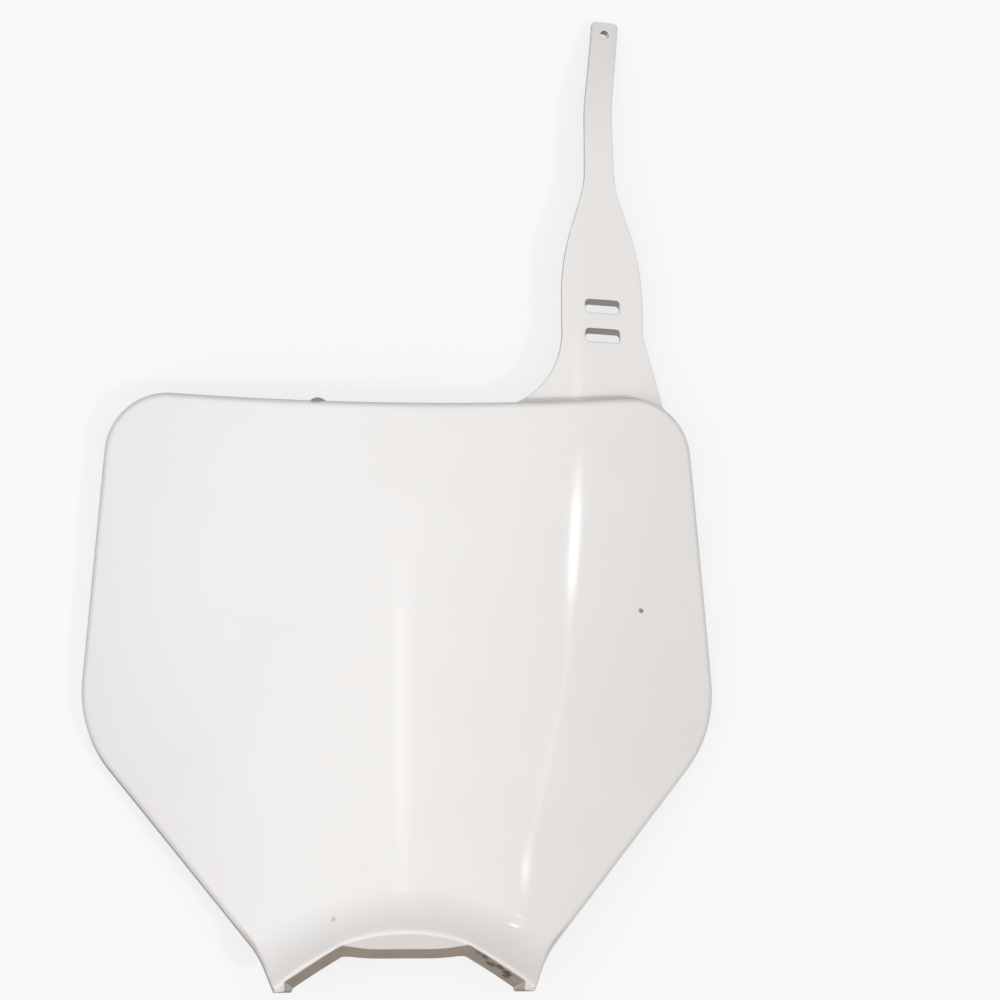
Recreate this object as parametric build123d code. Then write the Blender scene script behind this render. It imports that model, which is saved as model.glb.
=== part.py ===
"""A moulded racing number board: one bowed shield with a turned-back rim and a handlebar strap.

It lies on its rim with its front face up. X runs across it, Y from the horns at its foot to the tip of
its strap, and Z up out of the front face. Sizes are in millimetres. While it is drawn, Y is 0 just below the
horn tips and Z is 0 at the crown of the front face; the finished board is then moved onto its own frame,
with the origin under the middle of its box.
"""
import math
import os

from build123d import *

# Outline of the shield, seen from the front: half widths and heights of its corners before rounding
TOP_Y = 245.1
TOP_HALF = 116.6
TOP_DIP = 8.6
TOP_RADIUS = 24.0
WIDEST_Y = 107.5
WIDEST_HALF = 128.0
WIDEST_RADIUS = 50.0
FOOT_Y = 18.0
FOOT_HALF = 56.2
FOOT_RADIUS = 38.0
HORN_HALF = 49.0
HORN_END_Y = 3.8

# Moulded skin: bow across the face, crown along it, wall and turned-back rim
BOW_RADIUS_TOP = 370.0
BOW_RADIUS_FOOT = 262.0
CROWN = 2.0
WALL = 2.5
RIM_DEPTH = 12.8
EDGE_RADIUS = 3.0

# Flared lip round the notch in the foot: the face rises towards an arch and is cut off by a sloping flat
ARCH_TOP_Y = 26.2
ARCH_RADIUS = 74.0
LIP_REACH = 18.6
LIP_SLOPE = math.tan(math.radians(25))
FLAT_TILT = 15.3
FLAT_SINK = 0.4
LIP_DEPTH = 9.7

# Notch between the horns, with a drafted wall: a floor that turns up to its corners, two slanted sides, and
# straight ends beside the horn tips
NOTCH_Y = 20.0
NOTCH_FLOOR_HALF = 14.0
NOTCH_FLOOR_RADIUS = 60.0
NOTCH_RISE = 1.35
NOTCH_HALF = 24.7
NOTCH_SPREAD = 29.9
NOTCH_RADIUS = 3.0
NOTCH_END_HALF = 47.8
NOTCH_END_RADIUS = 1.0
NOTCH_DRAFT = 18.4

# Strap, seen from the front: a flared root, a body with two slots, and a tongue that leans to one side
STRAP_X = 83.2
STRAP_THICKNESS = 2.5
STRAP_EDGE = 0.5
STRAP_STEP = 0.6
FLARE_RISE = 5.3
FLARE_ANGLE = 60.0
FLARE_RADIUS = 34.0
SLANT_RISE = 24.9
SLANT_ANGLE = 15.5
SLANT_RADIUS = 20.0
BODY_HALF = 17.3
BODY_END_RISE = 54.2
SHOULDER_RADIUS = 100.0
TONGUE_X = 82.6
TONGUE_RISE = 87.7
TONGUE_HALF = 6.4
NECK_RADIUS = 40.0
BEND_RISE = 92.9
WAIST_HALF = 5.9
LEAN_RISE = 120.9
LEAN = 5.4
LEAN_RADIUS = 100.0
TIP_RISE = 162.9
TIP_HALF = 5.7
TIP_RADIUS = 2.0

# Openings in the strap
SLOT_LENGTH = 14.7
SLOT_WIDTH = 5.4
SLOT_RADIUS = 1.7
SLOT_RISE = 24.0
SLOT_PITCH = 12.2
SLOT_COUNT = 2
EYELET_RADIUS = 1.8
EYELET_FROM_TIP = 6.5

# Heights on the strap, from its rises above the corners of the top edge
FLARE_Y = TOP_Y + FLARE_RISE
SLANT_Y = TOP_Y + SLANT_RISE
BODY_END_Y = TOP_Y + BODY_END_RISE
TONGUE_Y = TOP_Y + TONGUE_RISE
BEND_Y = TOP_Y + BEND_RISE
LEAN_Y = TOP_Y + LEAN_RISE
TIP_Y = TOP_Y + TIP_RISE
SLOT_Y = TOP_Y + SLOT_RISE

# Lump left by the mould's gate on the top rim
GATE_X = -34.0
GATE_WIDTH = 6.5
GATE_HEIGHT = 4.0
GATE_REACH = 1.5

# Drawing aids: room round the part for what cuts it, and how finely the front face is laid out
ROOM = 16.0
DEEP = 70.0
GRID_STEP = 8.0
PROBE = 0.5
SKIN_TOLERANCE = 0.02
SKIN_DEGREE = 5


def front_height(x, y):
    """Height of the front face: a bow that tightens downwards, a crown, and the lip round the notch."""
    radius = BOW_RADIUS_FOOT + (BOW_RADIUS_TOP - BOW_RADIUS_FOOT) * y / TOP_Y
    bow = math.sqrt(radius**2 - x**2) - radius
    crown = -CROWN * (2 * y / TOP_Y - 1) ** 2
    inside = ARCH_RADIUS + LIP_REACH - math.hypot(x, y - ARCH_TOP_Y + ARCH_RADIUS)
    near = min(max(inside, 0), LIP_REACH)
    lip = LIP_SLOPE * (near**2 / (2 * LIP_REACH) + max(inside - LIP_REACH, 0))
    return bow + crown + lip


def sunk_height(x, y, sink):
    """Height of a skin that lies the given distance inside the front face."""
    across = (front_height(x + PROBE, y) - front_height(x - PROBE, y)) / (2 * PROBE)
    along = (front_height(x, y + PROBE) - front_height(x, y - PROBE)) / (2 * PROBE)
    return front_height(x, y) - sink * math.sqrt(1 + across**2 + along**2)


def below_face(sink):
    """Everything under a skin that lies the given distance inside the front face."""
    columns = math.ceil((WIDEST_HALF + ROOM) / GRID_STEP)
    first_row = -math.ceil(ROOM / GRID_STEP)
    last_row = math.ceil((TOP_Y + ROOM) / GRID_STEP)
    xs = [GRID_STEP * column for column in range(-columns, columns + 1)]
    ys = [GRID_STEP * row for row in range(first_row, last_row + 1)]
    grid = [[(x, y, sunk_height(x, y, sink)) for x in xs] for y in ys]
    skin = Face.make_surface_from_array_of_points(
        grid, tol=SKIN_TOLERANCE, smoothing=(1, 1, 1), max_deg=SKIN_DEGREE
    )
    return extrude(skin, amount=DEEP, dir=(0, 0, -1))


def outline_block(inset):
    """A straight block on the shield's outline, closed below the horns where the notch is cut out."""
    end_y = -ROOM / 2
    end_half = HORN_HALF + (FOOT_HALF - HORN_HALF) / FOOT_Y * end_y
    right = FilletPolyline(
        (TOP_HALF, TOP_Y),
        (WIDEST_HALF, WIDEST_Y),
        (FOOT_HALF, FOOT_Y),
        (end_half, end_y),
        radius=(WIDEST_RADIUS, FOOT_RADIUS),
    )
    left = mirror(right, about=Plane.YZ)
    top = ThreePointArc((-TOP_HALF, TOP_Y), (0, TOP_Y - TOP_DIP), (TOP_HALF, TOP_Y))
    foot = Line((-end_half, end_y), (end_half, end_y))
    shield = make_face(right.edges() + left.edges() + [top, foot])
    shield = fillet(shield.vertices().group_by(Axis.Y)[-1], TOP_RADIUS)
    if inset:
        shield = offset(shield, amount=-inset)
    return extrude(shield, amount=DEEP, both=True)


def moved_corner(x, y, heading_in, heading_out, step):
    """Where a corner of a path goes when the runs on both its sides move to their left by a step."""
    middle = math.radians((heading_in + heading_out) / 2)
    reach = step / math.cos(math.radians((heading_out - heading_in) / 2))
    return x - reach * math.sin(middle), y + reach * math.cos(middle)


def notch_block(growth):
    """The space between the horns, narrower towards the back; growth widens it all round."""
    draft = math.radians(NOTCH_DRAFT)
    mouth_z = front_height(0, ARCH_TOP_Y) - (ARCH_TOP_Y - NOTCH_Y) * math.tan(math.radians(FLAT_TILT))
    corner_y = NOTCH_Y + NOTCH_RISE
    end_y = corner_y - (NOTCH_END_HALF - NOTCH_HALF) * math.tan(math.radians(NOTCH_SPREAD))
    turn_up = math.degrees(math.atan2(NOTCH_RISE, NOTCH_HALF - NOTCH_FLOOR_HALF))
    radii = (NOTCH_FLOOR_RADIUS, NOTCH_RADIUS + growth, NOTCH_END_RADIUS + growth, 0)
    sections = []
    for z in (mouth_z - 2 * RIM_DEPTH, mouth_z + RIM_DEPTH):
        step = (z - mouth_z) * math.tan(draft) + growth / math.cos(draft)
        right = [
            moved_corner(NOTCH_FLOOR_HALF, NOTCH_Y, 0, turn_up, step),
            moved_corner(NOTCH_HALF, corner_y, turn_up, -NOTCH_SPREAD, step),
            moved_corner(NOTCH_END_HALF, end_y, -NOTCH_SPREAD, -90, step),
            moved_corner(NOTCH_END_HALF, -DEEP, -90, -90, step),
        ]
        left = [(-x, y) for x, y in reversed(right)]
        corners = [(x, y, z) for x, y in left + right]
        section = FilletPolyline(*corners, radius=radii[::-1] + radii, close=True)
        sections.append(make_face(section))
    return loft(sections, ruled=True)


def above_flat(sink):
    """Everything above the sloping flat that cuts off the lip."""
    apex = front_height(0, ARCH_TOP_Y) - FLAT_SINK - sink
    flat = Plane((0, ARCH_TOP_Y, apex)).rotated((FLAT_TILT, 0, 0))
    return flat * Box(3 * ARCH_RADIUS, 2 * ARCH_RADIUS, DEEP, align=(Align.CENTER, Align.CENTER, Align.MIN))


def below_horns(rise):
    """Everything below the square ends of the horns; a rise lifts it into them."""
    low_end = Box(4 * HORN_HALF, 4 * ROOM, 2 * DEEP, align=(Align.CENTER, Align.MAX, Align.CENTER))
    return Pos(0, HORN_END_Y + rise) * low_end


def tray():
    """The hollow shield: a rounded front, a rim of even depth that is deeper under the flat, and the notch."""
    outer = below_face(0) & outline_block(0)
    front = outer.faces().sort_by(Axis.Z)[-1]
    edges = front.edges().filter_by(lambda edge: edge.center().Y > 0)
    outer = fillet(edges, EDGE_RADIUS) - notch_block(0) - above_flat(0) - below_horns(0)
    hollow = below_face(WALL) & outline_block(WALL)
    hollow = hollow - notch_block(WALL) - above_flat(WALL) - below_horns(WALL)
    behind = below_face(RIM_DEPTH) - above_flat(LIP_DEPTH)
    return outer - hollow - behind


def strap_block():
    """A straight block on the strap's outline, from inside the top rim to the tip of the tongue."""
    start_y = TOP_Y - TOP_RADIUS
    left_x = STRAP_X - BODY_HALF
    right_x = STRAP_X + BODY_HALF
    flare_reach = (FLARE_Y - start_y) * math.tan(math.radians(FLARE_ANGLE))
    slant_reach = (SLANT_Y - start_y) * math.tan(math.radians(SLANT_ANGLE))
    outline = FilletPolyline(
        (left_x - flare_reach, start_y),
        (left_x, FLARE_Y),
        (left_x, BODY_END_Y),
        (TONGUE_X - TONGUE_HALF, TONGUE_Y),
        (TONGUE_X - WAIST_HALF, LEAN_Y),
        (TONGUE_X + LEAN - TIP_HALF, TIP_Y),
        (TONGUE_X + LEAN + TIP_HALF, TIP_Y),
        (TONGUE_X + WAIST_HALF, LEAN_Y),
        (TONGUE_X + TONGUE_HALF, TONGUE_Y),
        (right_x, BODY_END_Y),
        (right_x, SLANT_Y),
        (right_x + slant_reach, start_y),
        radius=(
            0,
            FLARE_RADIUS,
            SHOULDER_RADIUS,
            NECK_RADIUS,
            LEAN_RADIUS,
            TIP_RADIUS,
            TIP_RADIUS,
            LEAN_RADIUS,
            NECK_RADIUS,
            SHOULDER_RADIUS,
            SLANT_RADIUS,
            0,
        ),
        close=True,
    )
    return extrude(make_face(outline), amount=DEEP, both=True)


def strap_curve(rest_z):
    """The strap from the side: the height of its bow axis and the radii of its underside and its bend."""
    axis_z = front_height(0, TOP_Y) - BOW_RADIUS_TOP
    under = BOW_RADIUS_TOP - RIM_DEPTH + STRAP_STEP
    drop = under - math.hypot(TONGUE_X + LEAN + TIP_HALF, rest_z - axis_z)
    run = TIP_Y - BEND_Y
    bend = (run**2 + drop**2) / (2 * drop)
    return axis_z, under, bend


def strap_sheet(rest_z):
    """The strap's bowed sheet: it leaves the back of the top rim and bends down to the resting level."""
    axis_z, under, bend = strap_curve(rest_z)
    start_y = TOP_Y - TOP_RADIUS
    low_z = axis_z + under
    centre = (BEND_Y, low_z - bend)
    turn = math.degrees(math.asin((TIP_Y + ROOM - BEND_Y) / bend))
    lower = CenterArc(centre, bend, 90 - turn, turn)
    upper = CenterArc(centre, bend + STRAP_THICKNESS, 90 - turn, turn)
    end = Line(lower @ 0, upper @ 0)
    root = Polyline(lower @ 1, (start_y, low_z), (start_y, low_z + STRAP_THICKNESS), upper @ 1)
    side = Plane.YZ * make_face([lower, upper, end] + root.edges())
    bow_axis = Axis((0, 0, axis_z), (0, 1, 0))
    first = math.degrees(math.asin((STRAP_X - BODY_HALF - FLARE_RADIUS) / under))
    last = math.degrees(math.asin((STRAP_X + 2 * BODY_HALF + ROOM) / under))
    return revolve(side.rotate(bow_axis, first), bow_axis, last - first)


def strap_slots():
    """The two rounded slots through the body of the strap."""
    slot = extrude(RectangleRounded(SLOT_LENGTH, SLOT_WIDTH, SLOT_RADIUS), amount=DEEP, both=True)
    return [Pos(STRAP_X, SLOT_Y + SLOT_PITCH * count) * slot for count in range(SLOT_COUNT)]


def eyelet_place(rest_z):
    """The middle of the eyelet's bore, with Z square to the bent tongue."""
    axis_z, under, bend = strap_curve(rest_z)
    y = TIP_Y - EYELET_FROM_TIP
    x = TONGUE_X + LEAN * (y - LEAN_Y) / (TIP_Y - LEAN_Y)
    middle = bend + STRAP_THICKNESS / 2
    turn = math.asin((y - BEND_Y) / middle)
    radius = under - bend + middle * math.cos(turn)
    tilt = math.asin(x / radius)
    normal = (math.cos(turn) * math.sin(tilt), math.sin(turn), math.cos(turn) * math.cos(tilt))
    return Plane((x, y, axis_z + radius * math.cos(tilt)), z_dir=normal)


def gate_stub():
    """The low lump that the mould's gate left on the outside of the top rim."""
    arc_radius = (TOP_HALF**2 + TOP_DIP**2) / (2 * TOP_DIP)
    edge_y = TOP_Y - TOP_DIP + arc_radius - math.sqrt(arc_radius**2 - GATE_X**2)
    radius = (GATE_WIDTH**2 / 4 + GATE_REACH**2) / (2 * GATE_REACH)
    top_z = front_height(GATE_X, edge_y) - EDGE_RADIUS
    lump = Cylinder(radius, GATE_HEIGHT, align=(Align.CENTER, Align.CENTER, Align.MAX))
    return Pos(GATE_X, edge_y + GATE_REACH - radius, top_z) * lump


def strap(rest_z):
    """The strap with rounded edges, ending half way into the top rim."""
    body = strap_sheet(rest_z) & strap_block()
    for slot in strap_slots():
        body = body - slot
    edges = body.edges().filter_by(Axis.Z, reverse=True)
    outline = edges.filter_by(lambda edge: not math.isclose(edge.center().Y, BEND_Y))
    body = fillet(outline, STRAP_EDGE)
    return body - eyelet_place(rest_z) * Cylinder(EYELET_RADIUS, DEEP) - outline_block(WALL / 2)


def number_board():
    """The whole moulding, where it was drawn."""
    shell = tray()
    lump = gate_stub() - outline_block(WALL / 2)
    return shell + strap(shell.bounding_box().min.Z) + lump


def main():
    """Builds the board, stands its frame under the middle of its box and writes it."""
    board = number_board()
    box = board.bounding_box()
    board = Pos(-box.center().X, -box.center().Y, -box.min.Z) * board
    os.makedirs("parts", exist_ok=True)
    export_step(board, "parts/number_board.step")


if __name__ == "__main__":
    main()
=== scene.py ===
"""Looks for a moulded racing number board that lies face up on a pale table.

The board is one white plastic moulding, so the scene makes one mesh for it and hides the plain solid that the
mesh stands for. Shapes are worked out in millimetres on the drawing's datum, with Y 0 just below the horn
tips and Z 0 at the crown of the front face, and are then moved into the frame, in metres.
"""
from __future__ import annotations

import logging
import math
from collections.abc import Callable, Sequence
from dataclasses import dataclass, field
from enum import Enum
from typing import Any

import bpy
import numpy as np
from mathutils import Matrix, Vector
from mathutils.geometry import delaunay_2d_cdt

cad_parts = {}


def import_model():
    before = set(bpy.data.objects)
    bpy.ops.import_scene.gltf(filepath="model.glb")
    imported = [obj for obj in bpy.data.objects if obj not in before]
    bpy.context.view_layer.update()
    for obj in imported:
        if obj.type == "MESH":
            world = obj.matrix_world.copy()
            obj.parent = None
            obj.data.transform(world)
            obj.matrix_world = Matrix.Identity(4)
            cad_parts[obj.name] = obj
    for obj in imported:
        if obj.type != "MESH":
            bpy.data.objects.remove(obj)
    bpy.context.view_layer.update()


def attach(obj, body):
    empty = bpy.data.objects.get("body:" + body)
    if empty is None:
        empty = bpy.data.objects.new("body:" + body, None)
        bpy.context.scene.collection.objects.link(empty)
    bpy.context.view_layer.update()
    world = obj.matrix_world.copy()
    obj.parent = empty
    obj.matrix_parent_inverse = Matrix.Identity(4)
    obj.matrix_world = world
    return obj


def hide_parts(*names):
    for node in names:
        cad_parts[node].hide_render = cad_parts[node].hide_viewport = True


Array = np.ndarray
Colour = tuple[float, float, float, float]
Point = tuple[float, float, float]
Ramp = tuple[float, float]
Height = Callable[[Array], Array]
LOG = logging.getLogger("number_board")
NODE = "number_board"
MM = 0.001
DATUM_M = np.array([0.0, -0.2059, 0.0404923])
MIRROR = np.array([-1.0, 1.0, 1.0])


def to_frame(points: Array | Point) -> Array:
    """Moves points from the drawing's datum, in millimetres, into the frame, in metres."""
    return np.asarray(points, float) * MM + DATUM_M


def unit(vectors: Array) -> Array:
    """Scales vectors along the last axis to length one."""
    return vectors / np.linalg.norm(vectors, axis=-1, keepdims=True)


def soft_minimum(first: Array, second: Array, rounding: float) -> Array:
    """The lower of two heights; the crease where they cross is rounded off and loses half the rounding."""
    return 0.5 * (first + second - np.sqrt((first - second) ** 2 + rounding**2))


def smooth_share(value: Array, low: float, high: float) -> Array:
    """Rises from 0 at low to 1 at high as share^2 * (3 - 2 * share)."""
    share = np.clip((value - low) / (high - low), 0, 1)
    return share**2 * (3 - 2 * share)


def linked(name: str, data: bpy.types.ID) -> bpy.types.Object:
    """Makes an object and links it to the scene.

    Args:
        name: Name of the object.
        data: Its mesh, lamp or camera.

    Returns:
        The object.
    """
    made = bpy.data.objects.new(name, data)
    bpy.context.scene.collection.objects.link(made)
    return made


def with_height(flat: Array, height: Array) -> Array:
    """Joins plan points and their heights into points in space."""
    return np.concatenate([flat, np.asarray(height)[..., None]], axis=-1)


def rounded_corner(corner: Array, first: Array, second: Array, radius: float | Array, count: int) -> Array:
    """Arcs that round off corners between two legs each.

    The arc's centre lies on the bisector of the legs, radius / sin(half angle) from the corner, and the arc
    runs from the foot of the centre on the first leg to its foot on the second.

    Args:
        corner: Corner points, shape (..., 3).
        first: Direction from each corner along its first leg.
        second: Direction from each corner along its second leg.
        radius: Radius of the arcs, one number or shape (..., 1).
        count: Points on each arc.

    Returns:
        Arc points, shape (count, ..., 3), from the first leg to the second.
    """
    first = unit(first)
    second = unit(second)
    half = np.arccos(np.clip(np.sum(first * second, axis=-1, keepdims=True), -1, 1)) / 2
    centre = corner + unit(first + second) * radius / np.sin(half)
    start = unit(corner + first * radius / np.tan(half) - centre)
    end = unit(corner + second * radius / np.tan(half) - centre)
    across = unit(end - start * np.sum(start * end, axis=-1, keepdims=True))
    share = np.linspace(0, 1, count).reshape((count,) + (1,) * corner.ndim)
    angle = share * (math.pi - 2 * half)
    return centre + radius * (np.cos(angle) * start + np.sin(angle) * across)


def rounded_section(*corners: tuple[Array, Array, Array, float | Array, int]) -> Array:
    """Rounds off the corners of a section and strings the arcs together in order."""
    return np.concatenate([rounded_corner(*corner) for corner in corners])


class Turn(Enum):
    """Which way a path bends."""

    LEFT = 1.0
    RIGHT = -1.0


@dataclass
class Path:
    """A smooth line in plan, held as close points with their headings in radians."""

    points: Array
    heading: Array

    RUN_POINTS = 80
    BEND_WEIGHT = 6.0

    @classmethod
    def line(cls, start: Array, end: Array) -> Path:
        """A straight run: start + share * (end - start).

        Args:
            start: First point.
            end: Last point.

        Returns:
            The run as a path.
        """
        first = np.asarray(start, float)
        run = np.asarray(end, float) - first
        share = np.linspace(0, 1, cls.RUN_POINTS)[:, None]
        return cls(first + share * run, np.full(cls.RUN_POINTS, math.atan2(run[1], run[0])))

    @classmethod
    def arc(cls, centre: Array, radius: float, begin: float, end: float, turn: Turn) -> Path:
        """A circular run: each point is centre +/- radius * (sin, -cos) of its heading.

        Args:
            centre: Centre of the circle.
            radius: Its radius.
            begin: Heading at the start, in radians.
            end: Heading at the end, in radians.
            turn: Which way the run bends.

        Returns:
            The arc as a path.
        """
        heading = np.linspace(begin, end, cls.RUN_POINTS)
        side = np.stack([np.sin(heading), -np.cos(heading)], axis=-1)
        return cls(np.asarray(centre, float) + turn.value * radius * side, heading)

    @classmethod
    def rounded(cls, corners: Sequence[tuple[float, float]], radii: Sequence[float]) -> Path:
        """A run of straight legs whose inner corners are rounded off by arcs.

        Args:
            corners: Corner points, the two ends included.
            radii: One radius for each inner corner.

        Returns:
            The rounded line as a path.
        """
        corner = np.array(corners, float)
        run = np.diff(corner, axis=0)
        heading = np.unwrap(np.arctan2(run[:, 1], run[:, 0]))
        along = unit(run)
        bend = np.diff(heading)
        reach = np.concatenate([[0.0], np.asarray(radii) * np.abs(np.tan(bend / 2)), [0.0]])
        starts = corner[:-1] + along * reach[:-1, None]
        ends = corner[1:] - along * reach[1:, None]
        pieces = [cls.line(starts[0], ends[0])]
        for leg, radius in enumerate(radii):
            turn = Turn.LEFT if bend[leg] > 0 else Turn.RIGHT
            left = np.array([-along[leg, 1], along[leg, 0]])
            centre = ends[leg] + turn.value * radius * left
            pieces.append(cls.arc(centre, radius, heading[leg], heading[leg + 1], turn))
            straight = cls.line(starts[leg + 1], ends[leg + 1])
            straight.heading = np.full(len(straight.heading), heading[leg + 1])
            pieces.append(straight)
        return cls.joined(pieces)

    @classmethod
    def joined(cls, pieces: Sequence[Path]) -> Path:
        """Puts runs end to end."""
        return cls(np.concatenate([p.points for p in pieces]), np.concatenate([p.heading for p in pieces]))

    @property
    def distance(self) -> Array:
        """How far along the path each of its points is."""
        steps = np.hypot(*np.diff(self.points, axis=0).T)
        return np.concatenate([[0.0], np.cumsum(steps)])

    def at(self, distance: Array) -> tuple[Array, Array]:
        """Points at the given distances along the path and the normals on its right-hand side.

        Args:
            distance: Distances from the start.

        Returns:
            Points and unit normals, each of shape (..., 2).
        """
        along = self.distance
        heading = np.interp(distance, along, self.heading)
        x = np.interp(distance, along, self.points[:, 0])
        y = np.interp(distance, along, self.points[:, 1])
        return np.stack([x, y], axis=-1), np.stack([np.sin(heading), -np.cos(heading)], axis=-1)

    def spread(self, begin: float, end: float, count: int) -> Array:
        """Distances that lie closer together where the path bends.

        They are equal steps of (distance + bend weight * angle turned).

        Args:
            begin: First distance.
            end: Last distance.
            count: How many distances.

        Returns:
            The distances, in order.
        """
        along = self.distance
        turned = np.concatenate([[0.0], np.cumsum(np.abs(np.diff(self.heading)))])
        measure = along + self.BEND_WEIGHT * turned
        first, last = np.interp([begin, end], along, measure)
        return np.interp(np.linspace(first, last, count), measure, along)


@dataclass
class Wall:
    """A slanting wall: its edge at one height, and how far each point of the edge moves for a step down."""

    edge: Path
    drift: Array

    def at(self, distance: Array) -> tuple[Array, Array, Array]:
        """Points on the edge, the normals on its right-hand side, and the moves for a step down.

        Args:
            distance: Distances along the edge.

        Returns:
            Points, normals and moves, each of shape (..., 2).
        """
        spot, normal = self.edge.at(distance)
        along = self.edge.distance
        drift = np.stack([np.interp(distance, along, self.drift[:, axis]) for axis in (0, 1)], axis=-1)
        return spot, normal, drift


@dataclass
class Surface:
    """Patches gathered into one mesh."""

    points: list[Array] = field(default_factory=list)
    faces: list[Array] = field(default_factory=list)
    count: int = 0

    WELD_MM = 0.002

    def add(self, points: Array, faces: Array) -> None:
        """Adds loose points and the faces on them.

        Args:
            points: Points, shape (..., 3).
            faces: Corner numbers, one row a face.
        """
        self.points.append(points.reshape(-1, 3))
        self.faces.append(np.asarray(faces) + self.count)
        self.count += len(self.points[-1])

    def add_grid(self, grid: Array) -> None:
        """Adds a grid of points; its faces look along (first direction) x (second direction).

        Args:
            grid: Points, shape (rows, columns, 3).
        """
        rows, columns = grid.shape[:2]
        index = np.arange(rows * columns).reshape(rows, columns)
        quads = np.stack([index[:-1, :-1], index[1:, :-1], index[1:, 1:], index[:-1, 1:]], axis=-1)
        self.add(grid, quads.reshape(-1, 4))

    def welded(self) -> tuple[Array, list[Array]]:
        """Merges points that lie on each other and drops faces that this closes up.

        Returns:
            Points, and the faces as one array per number of corners.
        """
        points = np.concatenate(self.points)
        keys = np.round(points / self.WELD_MM).astype(np.int64)
        _, kept, merged = np.unique(keys, axis=0, return_index=True, return_inverse=True)
        merged = merged.reshape(-1)
        faces = []
        for corners in (3, 4):
            found = [f for f in self.faces if f.shape[1] == corners]
            if found:
                welded = merged[np.concatenate(found)]
                ordered = np.sort(welded, axis=1)
                faces.append(welded[np.all(np.diff(ordered, axis=1) > 0, axis=1)])
        return points[kept], faces

    def build(self, name: str) -> bpy.types.Object:
        """Makes the mesh object, smooth, with normals weighted by the area of the faces round each point.

        Args:
            name: Name of the object.

        Returns:
            The object, in the frame and linked to the scene.
        """
        points, faces = self.welded()
        points = to_frame(points)
        normals = np.zeros_like(points)
        for group in faces:
            corner = points[group]
            area = np.cross(corner[:, 2] - corner[:, 0], corner[:, -1] - corner[:, 1])
            for place in range(group.shape[1]):
                np.add.at(normals, group[:, place], area)
        mesh = bpy.data.meshes.new(name)
        mesh.from_pydata(points.tolist(), [], [face for group in faces for face in group.tolist()])
        mesh.polygons.foreach_set("use_smooth", np.ones(len(mesh.polygons), bool))
        mesh.update()
        mesh.normals_split_custom_set_from_vertices(unit(normals).tolist())
        return linked(name, mesh)


@dataclass(frozen=True)
class FrontFace:
    """The front of the board as a height over plan: bow, crown, and the flared lip with its sloping flat."""

    top_y: float = 245.1
    bow_radius_top: float = 370.0
    bow_radius_foot: float = 262.0
    crown: float = 2.0
    arch_top_y: float = 26.2
    arch_radius: float = 74.0
    lip_reach: float = 18.6
    lip_slope: float = math.tan(math.radians(25))
    flat_slope: float = math.tan(math.radians(15.3))
    flat_sink: float = 0.4
    lens_half: float = 21.0
    horn_start: float = 33.0
    horn_lift: float = 0.9
    ridge_rounding: float = 0.45
    probe: float = 0.5

    def height(self, x: Array, y: Array) -> Array:
        """Height before the lip is cut off.

        A circular bow whose radius grows up the board, less a parabola along the board, plus a lip that rises
        towards the arch as a parabola and then runs straight.

        Args:
            x: Places across the board.
            y: Places along the board.

        Returns:
            Heights of the same shape.
        """
        radius = self.bow_radius_foot + (self.bow_radius_top - self.bow_radius_foot) * y / self.top_y
        bow = np.sqrt(radius**2 - x**2) - radius
        crown = -self.crown * (2 * y / self.top_y - 1) ** 2
        inside = self.arch_radius + self.lip_reach - np.hypot(x, y - self.arch_top_y + self.arch_radius)
        near = np.clip(inside, 0, self.lip_reach)
        lip = near**2 / (2 * self.lip_reach) + np.maximum(inside - self.lip_reach, 0)
        return bow + crown + self.lip_slope * lip

    def ridge_height(self) -> float:
        """Height of the lip at the top of the arch."""
        return float(self.height(np.array(0.0), np.array(self.arch_top_y)))

    def flat(self, y: Array) -> Array:
        """Height of the sloping flat that cuts off the lip."""
        return self.ridge_height() - self.flat_sink - (self.arch_top_y - y) * self.flat_slope

    def skin(self, x: Array, y: Array) -> Array:
        """Height of the finished front: the lower of the face and the flat, which lifts along the horns."""
        flat = self.flat(y) + self.horn_lift * smooth_share(np.abs(x), self.lens_half, self.horn_start)
        return soft_minimum(self.height(x, y), flat, self.ridge_rounding)

    def sunk(self, x: Array, y: Array, depth: float, cut: bool) -> Array:
        """Height of a skin that lies a distance inside the front.

        The front's height less the depth times sqrt(1 + slope^2).

        Args:
            x: Places across the board.
            y: Places along the board.
            depth: Distance inside the front.
            cut: Whether the flat counts as part of the front.

        Returns:
            Heights of the same shape.
        """
        front = self.skin if cut else self.height
        across = (front(x + self.probe, y) - front(x - self.probe, y)) / (2 * self.probe)
        along = (front(x, y + self.probe) - front(x, y - self.probe)) / (2 * self.probe)
        return front(x, y) - depth * np.sqrt(1 + across**2 + along**2)


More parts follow.
